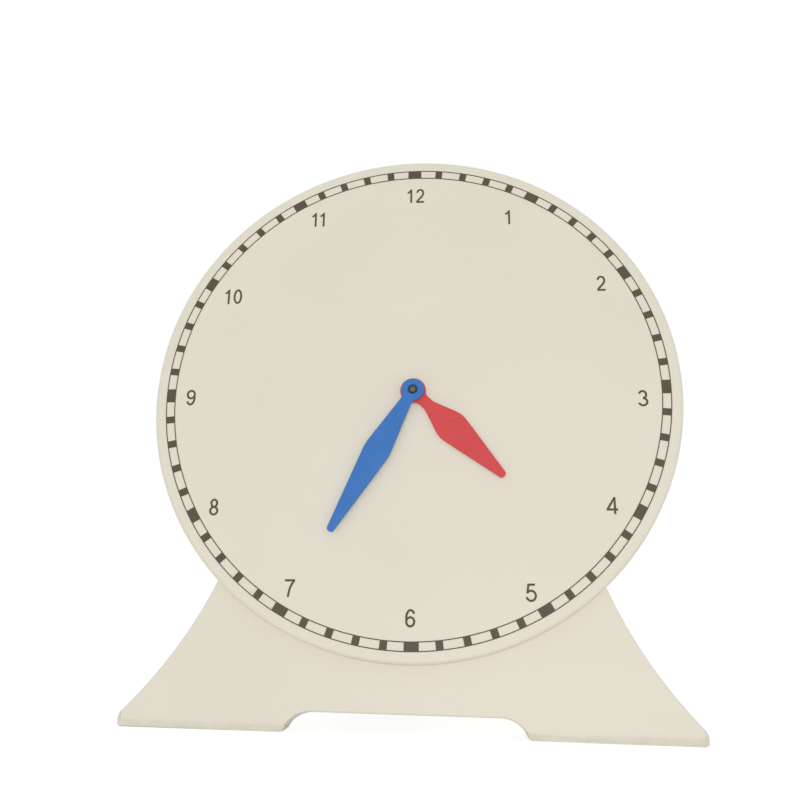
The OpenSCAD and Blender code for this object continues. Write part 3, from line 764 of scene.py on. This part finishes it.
def soft_outline(corners):
    """Points of a closed outline. A corner is its radius, its height and the radius of its round."""
    points = []
    for index, (radius, height, round_r) in enumerate(corners):
        corner = Vector((radius, height))
        before = (Vector(corners[index - 1][:2]) - corner).normalized()
        after = (Vector(corners[(index + 1) % len(corners)][:2]) - corner).normalized()
        half = before.angle(after) / 2
        centre = corner + (before + after).normalized() * (round_r / math.sin(half))
        start = corner + before * (round_r / math.tan(half)) - centre
        end = corner + after * (round_r / math.tan(half)) - centre
        for step in range(ROUND_STEPS + 1):
            points.append(centre + start.slerp(end, step / ROUND_STEPS) * round_r)
    return [*points, points[0]]


def dial_outline(rim_r):
    """Half section of the dial's tray, with its rim, ring rib and pivot boss."""
    hollow_r = rim_r - DIAL_WALL
    rib_in, rib_out = RING_RIB_R - RIB_T / 2, RING_RIB_R + RIB_T / 2
    return soft_outline([
        (PIVOT_BORE_R, 0, DIAL_EDGE), (rim_r, 0, DIAL_EDGE_R), (rim_r, -DIAL_DEPTH, DIAL_EDGE),
        (hollow_r, -DIAL_DEPTH, DIAL_EDGE), (hollow_r, -DIAL_WALL, DIAL_EDGE),
        (rib_out, -DIAL_WALL, DIAL_EDGE), (rib_out, -RIB_DEPTH, DIAL_EDGE),
        (rib_in, -RIB_DEPTH, DIAL_EDGE), (rib_in, -DIAL_WALL, DIAL_EDGE),
        (PIVOT_BOSS_R, -DIAL_WALL, DIAL_EDGE), (PIVOT_BOSS_R, -PIVOT_BOSS_DEPTH, DIAL_EDGE),
        (PIVOT_BORE_R, -PIVOT_BOSS_DEPTH, DIAL_EDGE)])


def radial_ribs(graph, given):
    """Ribs from the pivot's boss to the rim."""
    line = graph.add("GeometryNodeCurvePrimitiveLine", sockets={
        "Start": graph.vector(given["Rib start"], 0.0, 0.0),
        "End": graph.vector(given["Rib end"], 0.0, 0.0)})
    height = given["Rib depth"] - given["Rib root"]
    rib = flat_ribbon(graph, line, given["Rib thickness"], height, given["Edge"])
    lowered = graph.add("GeometryNodeTransform", sockets={
        "Geometry": rib, "Translation": graph.vector(0.0, 0.0, 0.0 - given["Rib depth"])})
    turn = graph.add("GeometryNodeInputIndex") * (2 * math.pi / RADIAL_RIBS)
    ribs = graph.add("GeometryNodeInstanceOnPoints", sockets={
        "Points": graph.add("GeometryNodePoints", sockets={"Count": RADIAL_RIBS}),
        "Instance": lowered, "Rotation": graph.vector(0.0, 0.0, turn)})
    return graph.add("GeometryNodeRealizeInstances", sockets={"Geometry": ribs})


def at_back_screws(graph, given, radius, near, far):
    """Round bars at the screws, from one depth behind the face to another."""
    bar = graph.add("GeometryNodeMeshCylinder", sockets={
        "Vertices": TURN_STEPS, "Radius": radius, "Depth": far - near})
    lowered = graph.add("GeometryNodeTransform", sockets={
        "Geometry": bar, "Translation": graph.vector(0.0, 0.0, (near + far) * -0.5)})
    points, _ = back_screw_points(graph, given)
    bars = graph.add("GeometryNodeInstanceOnPoints", sockets={"Points": points, "Instance": lowered})
    return graph.add("GeometryNodeRealizeInstances", sockets={"Geometry": bars})


def dial():
    """Shallow tray with its face to the front, and ribs and screw bosses on its back."""
    low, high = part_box("dial_plate")
    rim_r = (high.x - low.x) / 2 / MM
    piece = turned("dial", dial_outline(rim_r), DIAL_STEPS)
    graph, given = nodes_modifier(piece, "Dial", {
        "Rib start": PIVOT_BOSS_R / 2 * MM, "Rib end": (rim_r - DIAL_WALL / 2) * MM,
        "Rib thickness": RIB_T * MM, "Rib depth": RIB_DEPTH * MM, "Rib root": RIB_ROOT * MM,
        "Edge": DIAL_EDGE * MM, **back_screw_inputs(),
        "Boss radius": SCREW_BOSS_R * MM, "Boss depth": DIAL_DEPTH * MM,
        "Hole radius": SCREW_HOLE_R * MM, "Hole end": SCREW_HOLE_END * MM,
        "Finish": FINISHES["cream_plastic"]})
    bosses = at_back_screws(graph, given, given["Boss radius"], given["Rib root"], given["Boss depth"])
    past_boss = given["Boss depth"] * 2
    holes = at_back_screws(graph, given, given["Hole radius"], given["Hole end"], past_boss)
    moulding = union(graph, [given["Geometry"], radial_ribs(graph, given), bosses])
    drilled = graph.add("GeometryNodeMeshBoolean", {"operation": "DIFFERENCE", "solver": "EXACT"},
                        {"Mesh 1": moulding, "Mesh 2": [holes]})
    end_tree(graph, drilled, given["Finish"])
    piece = shaded(baked(piece))
    piece.data.transform(DIAL)
    return piece


# Camera, floor and light


def camera():
    data = bpy.data.cameras.new("Camera")
    data.sensor_width = SENSOR_W
    data.lens = LENS
    data.clip_start = CLIP_START * MM
    eye = bpy.data.objects.new("Camera", data)
    turn = DIAL.to_3x3()
    look = (turn @ Vector(CAMERA_LOOK)).normalized()
    right = look.cross(turn @ Vector(CAMERA_UP)).normalized()
    axes = Matrix((right, right.cross(look), -look)).transposed()
    eye.matrix_world = Matrix.Translation(DIAL @ (Vector(CAMERA_AT) * MM)) @ axes.to_4x4()
    bpy.context.scene.collection.objects.link(eye)
    bpy.context.scene.camera = eye


def seen_rays(graph):
    """1 for rays that show the background: those from the eye, in gloss and through clear things."""
    kinds = ["Is Camera Ray", "Is Glossy Ray", "Is Transmission Ray"]
    first, second, third = [graph.add("ShaderNodeLightPath", output=kind) for kind in kinds]
    return first.math("MAXIMUM", first, second.math("MAXIMUM", second, third))


def white_floor():
    """Pale floor that looks white to the eye and keeps a soft shadow."""
    finish = Finish("White floor")
    bounce = finish.add("ShaderNodeBsdfDiffuse", sockets={"Color": (FLOOR_BOUNCE,) * 3 + (1,)})
    shadowed = finish.add("ShaderNodeBsdfDiffuse", sockets={"Color": (FLOOR_SHADOW_SHARE,) * 3 + (1,)})
    glow = finish.add("ShaderNodeEmission", sockets={"Strength": FLOOR_WHITE_SHARE})
    white = finish.add("ShaderNodeAddShader", sockets={0: shadowed, 1: glow})
    look = finish.add("ShaderNodeMixShader", sockets={0: seen_rays(finish), 1: bounce, 2: white})
    finish.add("ShaderNodeOutputMaterial", sockets={"Surface": look})
    half = FLOOR_SIZE / 2
    corners = [(-half, -half, 0), (half, -half, 0), (half, half, 0), (-half, half, 0)]
    mesh = bpy.data.meshes.new("floor")
    mesh.from_pydata(corners, [], [(0, 1, 2, 3)])
    mesh.materials.append(finish.material)
    new_piece("floor", mesh)


def lamp(name, sizes):
    """Square lamp that faces the dial's middle."""
    data = bpy.data.lights.new(name, "AREA")
    data.size = sizes["size"]
    data.energy = sizes["power"]
    light = bpy.data.objects.new(name, data)
    light.location = sizes["at"]
    light.rotation_euler = (DIAL.translation - light.location).to_track_quat("-Z", "Y").to_euler()
    bpy.context.scene.collection.objects.link(light)


def studio_light():
    world = bpy.data.worlds.new("Studio")
    world.use_nodes = True
    world.node_tree.nodes.clear()
    graph = Graph(world.node_tree)
    light, white = [graph.add("ShaderNodeBackground", sockets={"Color": (1, 1, 1, 1), "Strength": strength})
                    for strength in (WORLD_LIGHT, 1.0)]
    look = graph.add("ShaderNodeMixShader", sockets={0: seen_rays(graph), 1: light, 2: white})
    graph.add("ShaderNodeOutputWorld", sockets={"Surface": look})
    bpy.context.scene.world = world
    lamp("Key", KEY)
    lamp("Rear fill", REAR_FILL)


# The clock


def mouldings():
    finished(dial(), "frame", "cream_plastic", "dial_plate")
    finished(softened("stand", "stand_shell", STAND_EDGE), "frame", "cream_plastic", "stand")
    finished(softened("rear_leg", "folding_leg", LEG_EDGE), "rear_leg", "cream_plastic", "rear_leg")
    finished(softened("hour_hand", "red_hand", HAND_EDGE), "hour_hand", "red_plastic", "hour_hand")
    finished(softened("minute_hand", "blue_hand", HAND_EDGE), "minute_hand", "blue_plastic", "minute_hand")


def print_on_dial():
    finished(minute_track(), "frame", "print_ink", "minute_track")
    finished(numerals(), "frame", "print_ink")


def hardware():
    finished(centre_screw(), "frame", "brass", "pivot_screw")
    finished(back_screws(), "frame", "steel", "dial_screws")
    nut = softened("pivot_nut", "centre_nut", NUT_EDGE, sharp=NUT_SHARP_ANGLE)
    finished(nut, "frame", "steel", "pivot_nut")
    finished(softened("hinge_pin", "leg_pin", PIN_EDGE), "frame", "steel", "hinge_pin")
    finished(softened("pin_clip", "leg_pin_clip", WASHER_EDGE), "frame", "steel", "pin_clip")
    finished(softened("rear_washer", "back_washer", WASHER_EDGE), "frame", "steel", "rear_washer")
    finished(softened("spring_washer", "split_washer", WASHER_EDGE), "frame", "steel", "spring_washer")
    finished(softened("front_washer", "dial_washer", WASHER_EDGE), "frame", "nylon", "front_washer")
    finished(softened("hand_spacer", "middle_washer", WASHER_EDGE), "frame", "nylon", "hand_spacer")


camera()
studio_light()
white_floor()
mouldings()
print_on_dial()
hardware()
bpy.context.scene.view_settings.view_transform = "Standard"
